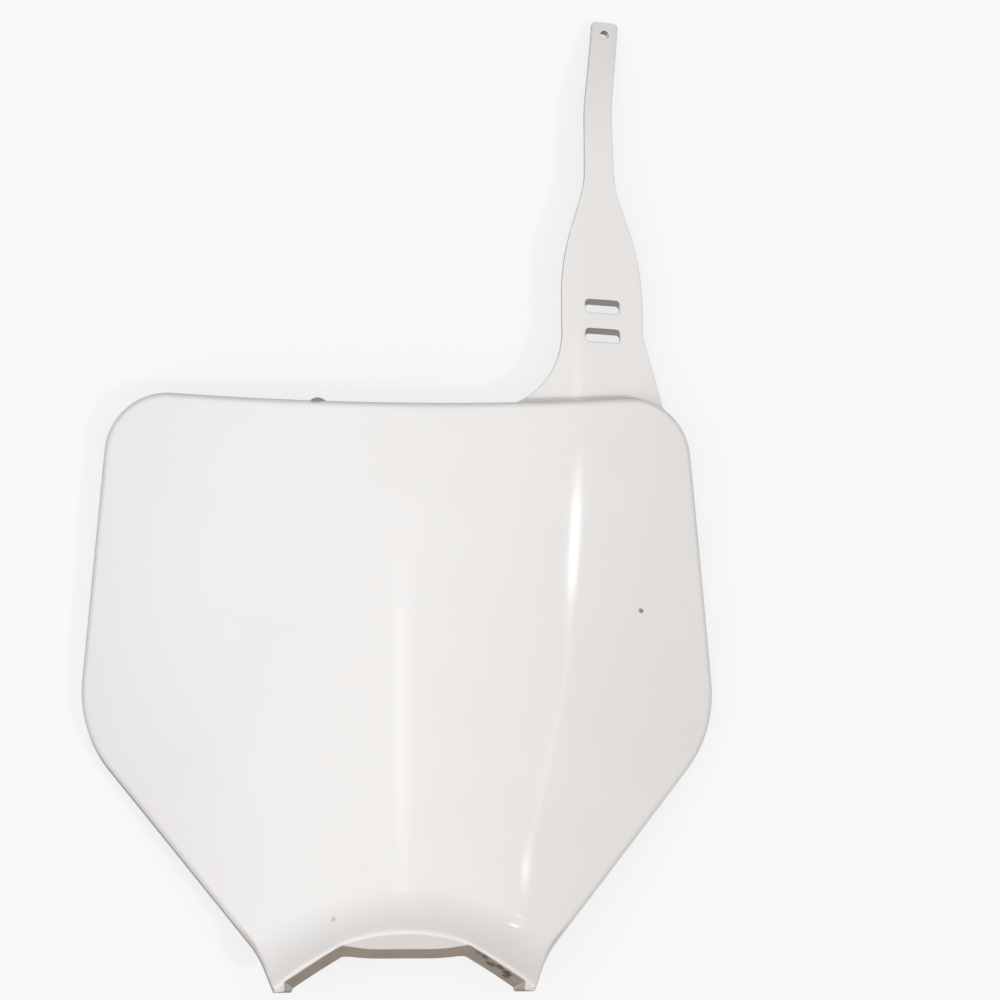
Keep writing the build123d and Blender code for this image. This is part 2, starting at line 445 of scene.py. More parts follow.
@dataclass
class Shield:
    """The hollow shield: front, rounded edge, turned-back rim, notch and underside."""

    face: FrontFace
    top_half: float = 116.6
    top_dip: float = 8.6
    top_radius: float = 24.0
    widest_y: float = 107.5
    widest_half: float = 128.0
    widest_radius: float = 50.0
    foot_y: float = 18.0
    foot_half: float = 56.2
    foot_radius: float = 38.0
    horn_half: float = 49.0
    horn_end_y: float = 3.8
    horn_room: float = 8.0
    horn_edge_radius: float = 1.0
    horn_taper: float = 20.0
    wall: float = 2.5
    rim_depth: float = 12.8
    lip_depth: float = 9.7
    edge_radius: float = 3.0
    back_radius: float = 0.5
    inner_radius: float = 0.8
    notch_y: float = 20.0
    notch_floor_half: float = 14.0
    notch_floor_radius: float = 60.0
    notch_rise: float = 1.35
    notch_half: float = 24.7
    notch_spread: float = math.radians(29.9)
    notch_radius: float = 3.0
    notch_end_half: float = 47.8
    notch_end_radius: float = 1.0
    notch_draft: float = math.tan(math.radians(18.4))
    notch_edge: float = 0.6
    columns: int = 160
    rows: int = 160
    edge_points: int = 8
    corner_points: int = 4
    tip_blend: float = 16.0
    horn_blend: float = 2.0
    tip_search: float = 40.0
    search_points: int = 800
    row_power: float = 1.6
    even_rows: float = 0.34
    wall_rounds: int = 12

    def __post_init__(self) -> None:
        """Works out the lines that the sections are carried along."""
        self.mouth_z = self.face.ridge_height() - (self.face.arch_top_y - self.notch_y) * self.face.flat_slope
        self.corner_y = self.notch_y + self.notch_rise
        self.far = self.horn_half + self.horn_room
        self.inset = self.wall * math.hypot(1, self.notch_draft)
        self.outer_lines = self.edge_points + self.corner_points
        self.back_round = (self.back_radius, self.corner_points)
        self.inner_round = (self.inner_radius, self.corner_points)
        self.top_arc = (self.top_half**2 + self.top_dip**2) / (2 * self.top_dip)
        self.top_arc_y = self.face.top_y - self.top_dip + self.top_arc
        self.side = self._half_outline()
        self.outer_wall = self._notch_wall(0.0, 0.0, ends=True)
        self.inner_wall = self._notch_wall(self.inset, self.wall, ends=False)

    def _half_outline(self) -> Path:
        """Right half of the outline, from below the horn to the middle of the top edge.

        Straight legs with rounded corners go up the side. An arc that touches both the side and the top
        rounds off the upper corner, and the top edge is a shallow arc that is lowest in its middle.

        Returns:
            The half outline.
        """
        slope = (self.foot_half - self.horn_half) / self.foot_y
        end = (self.horn_half - slope * self.horn_room, -self.horn_room)
        arc_centre = np.array([0.0, self.top_arc_y])
        low = np.array([self.widest_half, self.widest_y])
        high = np.array([self.top_half, self.face.top_y])
        along = unit(high - low)
        left = np.array([-along[1], along[0]])
        base = low + left * self.top_radius - arc_centre
        middle = base @ along
        reach = self.top_arc + self.top_radius
        corner_centre = arc_centre + base - along * (middle + math.sqrt(reach**2 - base @ base + middle**2))
        heading = math.atan2(along[1], along[0])
        spot = (corner_centre - arc_centre) * self.top_arc / reach
        top_heading = math.atan2(-spot[0], spot[1]) + 2 * math.pi
        straight = Path.rounded(
            [end, (self.foot_half, self.foot_y), tuple(low), tuple(corner_centre - left * self.top_radius)],
            [self.foot_radius, self.widest_radius],
        )
        corner = Path.arc(corner_centre, self.top_radius, heading, top_heading, Turn.LEFT)
        top = Path.arc(arc_centre, self.top_arc, top_heading, math.pi, Turn.RIGHT)
        self.corner_middle = straight.distance[-1] + corner.distance[-1] / 2
        return Path.joined([straight, corner, top])

    @staticmethod
    def _moved(x: float, y: float, heading_in: float, heading_out: float, step: float) -> tuple[float, float]:
        """Where a corner of a line goes when the runs on both its sides move to their left by a step.

        It moves by step / cos(half the turn), square to the middle heading.

        Args:
            x: The corner's place across the board.
            y: The corner's place along the board.
            heading_in: Heading of the run before it, in radians.
            heading_out: Heading of the run after it.
            step: How far the runs move.

        Returns:
            The corner's new place.
        """
        middle = (heading_in + heading_out) / 2
        reach = step / math.cos((heading_out - heading_in) / 2)
        return x - reach * math.sin(middle), y + reach * math.cos(middle)

    def _notch_line(self, step: float, growth: float, ends: bool) -> Path:
        """The notch's edge from left to right, moved away from the notch by a step.

        Args:
            step: How far the line moves.
            growth: What the corners' radii grow by.
            ends: Whether the sides turn down and then out along the ends of the horns, or run on straight.

        Returns:
            The line.
        """
        lift = math.atan2(self.notch_rise, self.notch_half - self.notch_floor_half)
        slant = -self.notch_spread
        right = [
            self._moved(self.notch_floor_half, self.notch_y, 0, lift, step),
            self._moved(self.notch_half, self.corner_y, lift, slant, step),
        ]
        radii = [self.notch_floor_radius, self.notch_radius + growth]
        if ends:
            end_y = self.corner_y + (self.notch_end_half - self.notch_half) * math.tan(slant)
            right.append(self._moved(self.notch_end_half, end_y, slant, -math.pi / 2, step))
            right.append((self.notch_end_half + step, self.horn_end_y))
            right.append((self.far, self.horn_end_y))
            radii += [self.notch_end_radius, self.horn_edge_radius]
        else:
            far_y = self.corner_y + (self.far - self.notch_half) * math.tan(slant)
            right.append(self._moved(self.far, far_y, slant, slant, step))
        left = [(-x, y) for x, y in reversed(right)]
        return Path.rounded(left + right, radii[::-1] + radii)

    def _notch_wall(self, step: float, growth: float, ends: bool) -> Wall:
        """One face of the notch's drafted wall, from its line at the mouth's height and one a step lower.

        Args:
            step: How far the line at the mouth stands back from the notch.
            growth: What the corners' radii grow by.
            ends: Whether the sides turn along the ends of the horns.

        Returns:
            The face.
        """
        edge = self._notch_line(step, growth, ends)
        lower = self._notch_line(step - self.notch_draft, growth, ends)
        return Wall(edge, lower.points - edge.points)

    def _rear(self, spot: Array) -> Array:
        """Height of the rim's back edge: an even depth under the face, or lower where the flat needs it."""
        even = self.face.sunk(spot[..., 0], spot[..., 1], self.rim_depth, cut=False)
        return np.minimum(even, self.face.flat(spot[..., 1]) - self.lip_depth)

    def _inner(self, spot: Array) -> Array:
        """Height of the underside of the panel."""
        return self.face.sunk(spot[..., 0], spot[..., 1], self.wall, cut=True)

    def _front(self, spot: Array) -> Array:
        """Height of the front of the panel."""
        return self.face.skin(spot[..., 0], spot[..., 1])

    def _edge_radius(self, y: Array) -> Array:
        """Rounding of the front edge, smoothly smaller towards the narrow ends of the horns."""
        share = smooth_share(y, self.horn_end_y, self.horn_end_y + self.horn_taper)
        return self.horn_edge_radius + (self.edge_radius - self.horn_edge_radius) * share

    def rim_section(self, distance: Array) -> Array:
        """The rim's section, carried along the outline.

        From the front it goes round the edge, straight down the outer wall, across the back edge, up the
        inner wall and onto the underside.

        Args:
            distance: Distances along the half outline.

        Returns:
            Points of shape (section points, ..., 3).
        """
        edge, normal = self.side.at(distance)
        inner = edge - normal * self.wall
        up = with_height(np.zeros_like(edge), np.ones(edge.shape[:-1]))
        radius = self._edge_radius(edge[..., 1:])
        fall = (self._front(edge - normal * radius) - self._front(edge)) / radius[..., 0]
        back = (self._rear(inner) - self._rear(edge)) / self.wall
        under = self._inner(inner - normal) - self._inner(inner)
        return rounded_section(
            (with_height(edge, self._front(edge)), with_height(-normal, fall), -up, radius, self.edge_points),
            (with_height(edge, self._rear(edge)), up, with_height(-normal, back), *self.back_round),
            (with_height(inner, self._rear(inner)), with_height(normal, -back), up, *self.back_round),
            (with_height(inner, self._inner(inner)), -up, with_height(-normal, under), *self.inner_round),
        )

    def _on_wall(self, line: Array, drift: Array, height: Height) -> Array:
        """Where the notch's slanting wall meets a surface.

        The line plus the drift times the depth below the mouth, settled in a few rounds.

        Args:
            line: The wall's line at the height of the mouth.
            drift: How far the line moves for a step down.
            height: The surface, as a function of plan points.

        Returns:
            Points on both, shape (..., 3).
        """
        z = np.full(line.shape[:-1], self.mouth_z)
        for _ in range(self.wall_rounds):
            spot = line + drift * (self.mouth_z - z)[..., None]
            z = height(spot)
        return with_height(spot, z)

    def notch_section(self, wall: Wall, distance: Array) -> Array:
        """The corners of the notch wall's section where one of its two faces meets front, back and underside.

        Args:
            wall: The outer or the inner face.
            distance: Distances along its edge.

        Returns:
            Points of shape (section points, ..., 3), in the same order as the rim's.
        """
        line, normal, drift = wall.at(distance)
        down = with_height(drift, -np.ones(line.shape[:-1]))
        back = self._on_wall(line, drift, self._rear)
        inward = -normal * self.wall
        if wall is self.outer_wall:
            mouth = self._on_wall(line, drift, self._front)
            rise = self._front(mouth[..., :2] - normal) - mouth[..., 2]
            behind = with_height(inward, self._rear(back[..., :2] + inward) - back[..., 2])
            return rounded_section(
                (mouth, with_height(-normal, rise), down, self.notch_edge, self.edge_points),
                (back, -down, behind, *self.back_round),
            )
        under = self._on_wall(line, drift, self._inner)
        sink = self._inner(under[..., :2] - normal) - under[..., 2]
        behind = with_height(-inward, self._rear(back[..., :2] - inward) - back[..., 2])
        return rounded_section(
            (back, behind, -down, *self.back_round),
            (under, down, with_height(-normal, sink), *self.inner_round),
        )

    def _tip_distances(self) -> Array:
        """Where each line of the rim's section stops, as distances along the outline.

        The outer lines stop at the end of the horn, and the inner ones where they meet the inside of the
        notch's wall or of the horn's end.

        Returns:
            One distance for each line of the section.
        """
        reach = np.linspace(0, self.tip_search, self.search_points)
        section = self.rim_section(reach)
        outside = self.horn_end_y - section[..., 1]
        inner = section[self.outer_lines :]
        slant = np.array([-math.sin(self.notch_spread), -math.cos(self.notch_spread)])
        past = (inner[..., :2] - np.array([self.notch_half, self.corner_y])) @ slant + self.inset
        past = past - (self.mouth_z - inner[..., 2]) * self.notch_draft
        outside[self.outer_lines :] = np.maximum(past, outside[self.outer_lines :] + self.wall)
        return np.array([np.interp(0.0, -line, reach) for line in outside])

    def _side_band(self) -> Array:
        """The rim up the right side, cut off along the notch's wall at the horn's tip.

        Its rows crowd towards the tip: an even part of the share along the side, and the rest as its power.

        Returns:
            Points of shape (section points, rows + 1, 3).
        """
        tips = self._tip_distances()
        start = tips[0]
        share = np.linspace(0, 1, self.rows + 1)
        crowded = (1 - self.even_rows) * share**self.row_power + self.even_rows * share
        distance = start + (self.corner_middle - start) * crowded
        fade = np.clip(1 - (distance - start) / self.tip_blend, 0, 1)
        lines = [self.rim_section(distance + (tip - start) * fade)[line] for line, tip in enumerate(tips)]
        return np.stack(lines)

    def _top_band(self) -> Array:
        """The rim along the top, from the right corner to the left.

        Returns:
            Points of shape (section points, columns + 1, 3).
        """
        distance = np.linspace(self.corner_middle, self.side.distance[-1], self.columns // 2 + 1)
        right = self.rim_section(distance)
        return np.concatenate([right, right[:, -2::-1] * MIRROR], axis=1)

    def _notch_band(self, tip: Array) -> Array:
        """The notch's wall from left to right, each line drawn to the end of the rim's line at the tip.

        Args:
            tip: The right tip's section, shape (section points, 3).

        Returns:
            Points of shape (section points, columns + 1, 3).
        """
        middle = self.outer_wall.edge.distance[-1] / 2
        inner_middle = self.inner_wall.edge.distance[-1] / 2
        parted = self.notch_end_half - self.horn_edge_radius
        shared = np.interp(parted, *self._half_line(self.inner_wall.edge))
        slant = np.array([math.cos(self.notch_spread), -math.sin(self.notch_spread)])
        far_end = self.inner_wall.edge.points[-1]
        lines = []
        for line, spot in enumerate(tip):
            corner_x = self.notch_end_half - self.notch_draft * (self.mouth_z - spot[2])
            left_over = (self.far - self.notch_end_half) * (self.far - spot[0]) / (self.far - corner_x)
            end = middle - left_over
            distance = self.outer_wall.edge.spread(middle, middle + end, self.columns // 2 + 1) - middle
            if line < self.outer_lines:
                right = self.notch_section(self.outer_wall, middle + distance)[line]
                blend = self.horn_blend
            else:
                inner_end = inner_middle + (spot[:2] - far_end) @ slant
                distance = np.interp(distance, [0.0, shared, end], [0.0, shared, inner_end])
                right = self.notch_section(self.inner_wall, inner_middle + distance)[line - self.outer_lines]
                blend = self.tip_blend
                end = inner_end
            fade = np.clip(1 - (end - distance) / blend, 0, 1)[:, None]
            right = right + (spot - right[-1]) * fade
            lines.append(np.concatenate([right[:0:-1] * MIRROR, right]))
        return np.stack(lines)

    @staticmethod
    def _half_line(line: Path) -> tuple[Array, Array]:
        """X along the right half of a line, and the distances from its middle.

        Args:
            line: A line that is the same on both sides of its middle.

        Returns:
            X and the distances, from the middle outwards.
        """
        distance = line.distance - line.distance[-1] / 2
        right = distance >= 0
        return line.points[right, 0], distance[right]

    def _panel(self, bottom: Array, top: Array, left: Array, right: Array, height: Height) -> Array:
        """A sheet between four edges, blended in plan and given its height by a formula.

        Plan points are (between bottom and top) + (between left and right) - (between the four corners).

        Args:
            bottom: Lower edge, left to right.
            top: Upper edge, left to right.
            left: Left edge, upwards.
            right: Right edge, upwards.
            height: Height over plan points.

        Returns:
            Points of shape (across, up, 3).
        """
        across = np.linspace(0, 1, len(bottom))[:, None, None]
        lengths = np.concatenate([[0.0], np.cumsum(np.linalg.norm(np.diff(right, axis=0), axis=1))])
        up = (lengths / lengths[-1])[None, :, None]
        rails = (1 - up) * bottom[:, None, :2] + up * top[:, None, :2]
        rungs = (1 - across) * left[None, :, :2] + across * right[None, :, :2]
        corners = (1 - across) * ((1 - up) * bottom[0, :2] + up * top[0, :2])
        corners = corners + across * ((1 - up) * bottom[-1, :2] + up * top[-1, :2])
        plan = rails + rungs - corners
        sheet = with_height(plan, height(plan))
        sheet[:, 0] = bottom
        sheet[:, -1] = top
        sheet[0] = left
        sheet[-1] = right
        return sheet

    def build(self, surface: Surface) -> None:
        """Adds the shield's patches.

        Args:
            surface: Where the patches go.
        """
        right = self._side_band()
        top = self._top_band()
        left = right * MIRROR
        notch = self._notch_band(right[:, 0])
        surface.add_grid(np.concatenate([right, top[:, 1:-1], left[:, ::-1]], axis=1))
        surface.add_grid(notch)
        front = self._panel(notch[0], top[0, ::-1], left[0], right[0], self._front)
        under = self._panel(notch[-1], top[-1, ::-1], left[-1], right[-1], self._inner)
        surface.add_grid(front)
        surface.add_grid(under.transpose(1, 0, 2))


@dataclass
class Strap:
    """The strap that wraps the handlebar: a bowed sheet with two slots, a bent tongue and an eyelet."""

    shield: Shield
    centre_x: float = 83.2
    thickness: float = 2.5
    edge: float = 0.5
    step: float = 0.6
    flare_rise: float = 5.3
    flare_angle: float = math.radians(60.0)
    flare_radius: float = 34.0
    slant_rise: float = 24.9
    slant_angle: float = math.radians(15.5)
    slant_radius: float = 20.0
    body_half: float = 17.3
    body_end_rise: float = 54.2
    shoulder_radius: float = 100.0
    tongue_x: float = 82.6
    tongue_rise: float = 87.7
    tongue_half: float = 6.4
    neck_radius: float = 40.0
    bend_rise: float = 92.9
    waist_half: float = 5.9
    lean_rise: float = 120.9
    lean: float = 5.4
    lean_radius: float = 100.0
    tip_rise: float = 162.9
    tip_half: float = 5.7
    tip_radius: float = 2.0
    slot_length: float = 14.7
    slot_width: float = 5.4
    slot_radius: float = 1.7
    slot_rises: tuple[float, ...] = (24.0, 36.2)
    slot_lean: float = 1.8
    eyelet_radius: float = 1.8
    eyelet_from_tip: float = 6.5
    spacing: float = 1.0
    fill_spacing: float = 3.0
    edge_points: int = 5
    slot_points: int = 48
    eyelet_points: int = 32
    root_start: float = 15.0
    fill_clear: float = 1.0

    SIGN_DIGITS = 9
    INSIDE_ONLY = 1
    MERGE_MM = 1e-6

    def __post_init__(self) -> None:
        """Works out the bow and the bend that bring the tip's corner down to the table."""
        face = self.shield.face
        table_z = -DATUM_M[2] / MM
        self.base_y = face.top_y
        self.axis_z = float(face.height(np.array(0.0), np.array(face.top_y))) - face.bow_radius_top
        self.under = face.bow_radius_top - self.shield.rim_depth + self.step
        corner_x = self.tongue_x + self.lean + self.tip_half
        drop = self.under - math.hypot(corner_x, table_z - self.axis_z)
        run = self.tip_rise - self.bend_rise
        self.bend = (run**2 + drop**2) / (2 * drop)

    def height(self, plan: Array, lift: float) -> Array:
        """Height of a layer of the strap over plan points.

        A circle round the bow's axis whose radius is level up to the bend and then falls along a circle.

        Args:
            plan: Plan points.
            lift: How far the layer lies above the underside.

        Returns:
            Heights.
        """
        past = np.maximum(plan[..., 1] - self.base_y - self.bend_rise, 0)
        radius = self.under - self.bend + np.sqrt((self.bend + lift) ** 2 - past**2)
        return self.axis_z + np.sqrt(radius**2 - plan[..., 0] ** 2)

    def _outline(self) -> Path:
        """The outline from inside the rim on the right, round the tip, to inside the rim on the left.

        Corners are places across the board with their rises above the corners of the top edge.

        Returns:
            The outline.
        """
        start_rise = -self.shield.top_radius
        left_x = self.centre_x - self.body_half
        right_x = self.centre_x + self.body_half
        flare_reach = (self.flare_rise - start_rise) * math.tan(self.flare_angle)
        slant_reach = (self.slant_rise - start_rise) * math.tan(self.slant_angle)
        tip_x = self.tongue_x + self.lean
        corners = [
            (right_x + slant_reach, start_rise),
            (right_x, self.slant_rise),
            (right_x, self.body_end_rise),
            (self.tongue_x + self.tongue_half, self.tongue_rise),
            (self.tongue_x + self.waist_half, self.lean_rise),
            (tip_x + self.tip_half, self.tip_rise),
            (tip_x - self.tip_half, self.tip_rise),
            (self.tongue_x - self.waist_half, self.lean_rise),
            (self.tongue_x - self.tongue_half, self.tongue_rise),
            (left_x, self.body_end_rise),
            (left_x, self.flare_rise),
            (left_x - flare_reach, start_rise),
        ]
        shared = [self.shoulder_radius, self.neck_radius, self.lean_radius, self.tip_radius]
        radii = [self.slant_radius] + shared + shared[::-1] + [self.flare_radius]
        return Path.rounded([(x, self.base_y + rise) for x, rise in corners], radii)

    def _edge_loop(self) -> tuple[Array, Array]:
        """The strap's edge as a closed loop, cut off half way into the rim, with its outward normals.

        Returns:
            Points and normals.
        """
        outline = self._outline()
        side = self.shield.side
        rim, rim_normal = side.at(np.arange(self.shield.corner_middle - self.root_start, side.distance[-1]))
        root = rim - rim_normal * self.shield.wall / 2
        root = root[np.argsort(root[:, 0])]
        level = np.interp(outline.points[:, 0], root[:, 0], root[:, 1])
        outside = np.nonzero(outline.points[:, 1] > level)[0]
        first, last = outline.distance[outside[0]], outline.distance[outside[-1]]
        edge, normal = outline.at(np.linspace(first, last, math.ceil((last - first) / self.spacing)))
        within = (root[:, 0] > edge[-1, 0] + self.spacing) & (root[:, 0] < edge[0, 0] - self.spacing)
        down = np.tile([0.0, -1.0], (int(within.sum()), 1))
        return np.concatenate([edge, root[within]]), np.concatenate([normal, down])

    def _slot_loop(self, rise: float, lean: float) -> tuple[Array, Array]:
        """A rounded slot's edge as a closed loop, with normals that point into the slot.

        Args:
            rise: Height of the slot's middle above the corners of the top edge.
            lean: How far the far wall has come forward.

        Returns:
            Points and normals.
        """
        half = np.array([self.slot_length, self.slot_width]) / 2
        middle = np.array([self.centre_x, self.base_y + rise])
        angle = np.linspace(0, 2 * math.pi, self.slot_points, endpoint=False)
        around = np.stack([np.cos(angle), np.sin(angle)], axis=-1)
        steps = np.sign(np.round(around, self.SIGN_DIGITS))
        points = middle + steps * (half - self.slot_radius) + around * self.slot_radius
        points[:, 1] -= lean * (1 + steps[:, 1]) / 2
        return points[::-1], -around[::-1]

    def _eyelet_loop(self, lift: float) -> tuple[Array, Array]:
        """The eyelet's edge in one layer of the strap, seen in plan.

        A circle square to the bent tongue, so its plan is drawn in along the slope and moves with the layer.

        Args:
            lift: How far the layer lies above the underside.

        Returns:
            Points and normals that point into the eyelet.
        """
        rise = self.tip_rise - self.eyelet_from_tip
        x = self.tongue_x + self.lean * (rise - self.lean_rise) / (self.tip_rise - self.lean_rise)
        middle = self.bend + self.thickness / 2
        turn = math.asin((rise - self.bend_rise) / middle)
        tilt = math.asin(x / (self.under - self.bend + middle * math.cos(turn)))
        normal = np.array([math.cos(turn) * math.sin(tilt), math.sin(turn), math.cos(turn) * math.cos(tilt)])
        first = unit(np.cross([0.0, 1.0, 0.0], normal))
        second = np.cross(normal, first)
        angle = np.linspace(0, 2 * math.pi, self.eyelet_points, endpoint=False)[::-1, None]
        around = np.cos(angle) * first + np.sin(angle) * second
        centre = np.array([x, self.base_y + rise]) + normal[:2] * (lift - self.thickness / 2)
        return centre + self.eyelet_radius * around[:, :2], -unit(around[:, :2])

    def _edge_band(self, upper: tuple[Array, Array], lower: tuple[Array, Array]) -> Array:
        """A rounded edge carried along a closed loop, from the top of the strap to its underside.

        Args:
            upper: Points and normals of the edge at the top.
            lower: The same at the underside.

        Returns:
            Points of shape (section points, loop points + 1, 3).
        """
        angle = np.linspace(0, math.pi / 2, self.edge_points)[:, None]
        inset = self.edge * (1 - np.sin(angle))
        fall = self.edge * (1 - np.cos(angle))
        bands = []
        for (spot, normal), lift, side in ((upper, self.thickness, -1), (lower, 0.0, 1)):
            plan = spot - normal * inset[..., None]
            height = self.height(np.broadcast_to(spot, plan.shape), lift)
            bands.append(with_height(plan, height + side * fall))
        band = np.concatenate([bands[0], bands[1][::-1]])
        return np.concatenate([band, band[:, :1]], axis=1)

    @staticmethod
    def _inside(points: Array, loop: Array) -> Array:
        """Whether points lie inside a closed loop: the way out to +X crosses an odd number of its sides.

        Args:
            points: Plan points.
            loop: Plan points of the loop.

        Returns:
            One answer for each point.
        """
        ahead = np.roll(loop, -1, axis=0)
        spans = (loop[:, 1] > points[:, 1:2]) != (ahead[:, 1] > points[:, 1:2])
        rise = np.where(ahead[:, 1] == loop[:, 1], 1.0, ahead[:, 1] - loop[:, 1])
        crossing = loop[:, 0] + (points[:, 1:2] - loop[:, 1]) / rise * (ahead[:, 0] - loop[:, 0])
        return np.sum(spans & (points[:, 0:1] < crossing), axis=1) % 2 == 1

    def _on_sheet(self, points: Array, loops: list[Array]) -> Array:
        """Whether points lie inside the outer loop and outside its openings.

        Args:
            points: Plan points.
            loops: Plan points of the loops, the outer one first.

        Returns:
            One answer for each point.
        """
        inside = self._inside(points, loops[0])
        for opening in loops[1:]:
            inside &= ~self._inside(points, opening)
        return inside

    def _fill(self, loops: list[Array]) -> tuple[Array, Array]:
        """Triangles between an outer loop and the loops of its openings, on a grid of inner points.

        Args:
            loops: Plan points of the loops, the outer one first.

        Returns:
            Plan points and triangles that look up.
        """
        rim = np.concatenate(loops)
        low, high = loops[0].min(axis=0), loops[0].max(axis=0)
        lines = [np.arange(a + self.fill_spacing / 2, b, self.fill_spacing) for a, b in zip(low, high)]
        grid = np.stack(np.meshgrid(*lines), axis=-1).reshape(-1, 2)
        clear = np.min(np.linalg.norm(grid[:, None] - rim, axis=-1), axis=1) > self.fill_clear
        points = np.concatenate([rim, grid[self._on_sheet(grid, loops) & clear]])
        edges = []
        start = 0
        for loop in loops:
            index = np.arange(len(loop))
            edges.append(start + np.stack([index, (index + 1) % len(loop)], axis=-1))
            start += len(loop)
        sides = np.concatenate(edges).tolist()
        found = delaunay_2d_cdt(points.tolist(), sides, [], self.INSIDE_ONLY, self.MERGE_MM)
        plan = np.array(found[0])
        faces = np.array(found[2])
        return plan, faces[self._on_sheet(plan[faces].mean(axis=1), loops)]

    def build(self, surface: Surface) -> None:
        """Adds the strap's edges, openings and two broad faces.

        Args:
            surface: Where the patches go.
        """
        outline = self._edge_loop()
        layers = []
        for lift, lean in ((self.thickness, 0.0), (0.0, self.slot_lean)):
            slots = [self._slot_loop(rise, lean) for rise in self.slot_rises]
            layers.append([outline, *slots, self._eyelet_loop(lift)])
        bands = [self._edge_band(upper, lower) for upper, lower in zip(*layers)]
        for band in bands:
            surface.add_grid(band)
        for line, lift in ((0, self.thickness), (-1, 0.0)):
            plan, faces = self._fill([band[line, :-1, :2] for band in bands])
            surface.add(with_height(plan, self.height(plan, lift)), faces if line == 0 else faces[:, ::-1])


@dataclass
class GateLump:
    """The low lump that the mould's gate left on the outside of the top rim."""

    shield: Shield
    x: float = -34.0
    width: float = 6.5
    height: float = 4.0
    reach: float = 1.5
    edge: float = 0.6
    buried: float = 0.12
    arc_points: int = 25
    edge_points: int = 5

    def build(self, surface: Surface) -> None:
        """Adds the lump: a slice of an upright cylinder with rounded upper and lower edges.

        Args:
            surface: Where the patch goes.
        """
        shield = self.shield
        edge_y = shield.top_arc_y - math.sqrt(shield.top_arc**2 - self.x**2)
        radius = (self.width**2 / 4 + self.reach**2) / (2 * self.reach)
        top_z = float(shield.face.height(np.array(self.x), np.array(edge_y))) - shield.edge_radius
        sweep = math.asin(self.width / 2 / radius) + self.buried
        angle = np.linspace(-sweep, sweep, self.arc_points)
        bend = np.linspace(0, math.pi / 2, self.edge_points)
        inset = np.concatenate([[radius / 2], self.edge * (1 - np.sin(bend))])
        fall = np.concatenate([[0.0], self.edge * (1 - np.cos(bend))])
        inset = np.concatenate([inset, inset[::-1]])[:, None]
        level = np.concatenate([top_z - fall, top_z - self.height + fall[::-1]])[:, None]
        x = self.x + (radius - inset) * np.sin(angle)
        y = edge_y + self.reach - radius + (radius - inset) * np.cos(angle)
        grid = np.stack([x, y, np.broadcast_to(level, x.shape)], axis=-1)
        surface.add_grid(grid[:, ::-1])


class Value:
    """A shader socket that takes part in Python arithmetic."""

    def __init__(self, recipe: Recipe, socket: bpy.types.NodeSocket | None) -> None:
        """Wraps a node's output socket."""
        self.recipe = recipe
        self.socket = socket

    def _maths(self, operation: str, first: Value | float, second: Value | float = 0.0) -> Value:
        """Adds a Math node."""
        return self.recipe.node("ShaderNodeMath", {"operation": operation}, {0: first, 1: second})

    def __add__(self, other: Value | float) -> Value:
        """Sum."""
        return self._maths("ADD", self, other)

    __radd__ = __add__

    def __sub__(self, other: Value | float) -> Value:
        """Difference."""
        return self._maths("SUBTRACT", self, other)

    def __rsub__(self, other: Value | float) -> Value:
        """Difference from a number."""
        return self._maths("SUBTRACT", other, self)

    def __mul__(self, other: Value | float) -> Value:
        """Product."""
        return self._maths("MULTIPLY", self, other)

    __rmul__ = __mul__

    def __truediv__(self, other: Value | float) -> Value:
        """Quotient."""
        return self._maths("DIVIDE", self, other)

    def __rtruediv__(self, other: Value | float) -> Value:
        """Quotient of a number."""
        return self._maths("DIVIDE", other, self)

    def __pow__(self, other: Value | float) -> Value:
        """Power."""
        return self._maths("POWER", self, other)

    def at_least(self, low: float) -> Value:
        """The greater of this and a number."""
        return self._maths("MAXIMUM", self, low)

    def away(self, place: float) -> Value:
        """How far this is from a number, without sign."""
        return self._maths("ABSOLUTE", self - place)

    def step(self, low: float, high: float) -> Value:
        """Rises smoothly from 0 at low to 1 at high; falls if low is the greater."""
        sockets = {"Value": self, "From Min": low, "From Max": high}
        return self.recipe.node("ShaderNodeMapRange", {"interpolation_type": "SMOOTHSTEP"}, sockets)


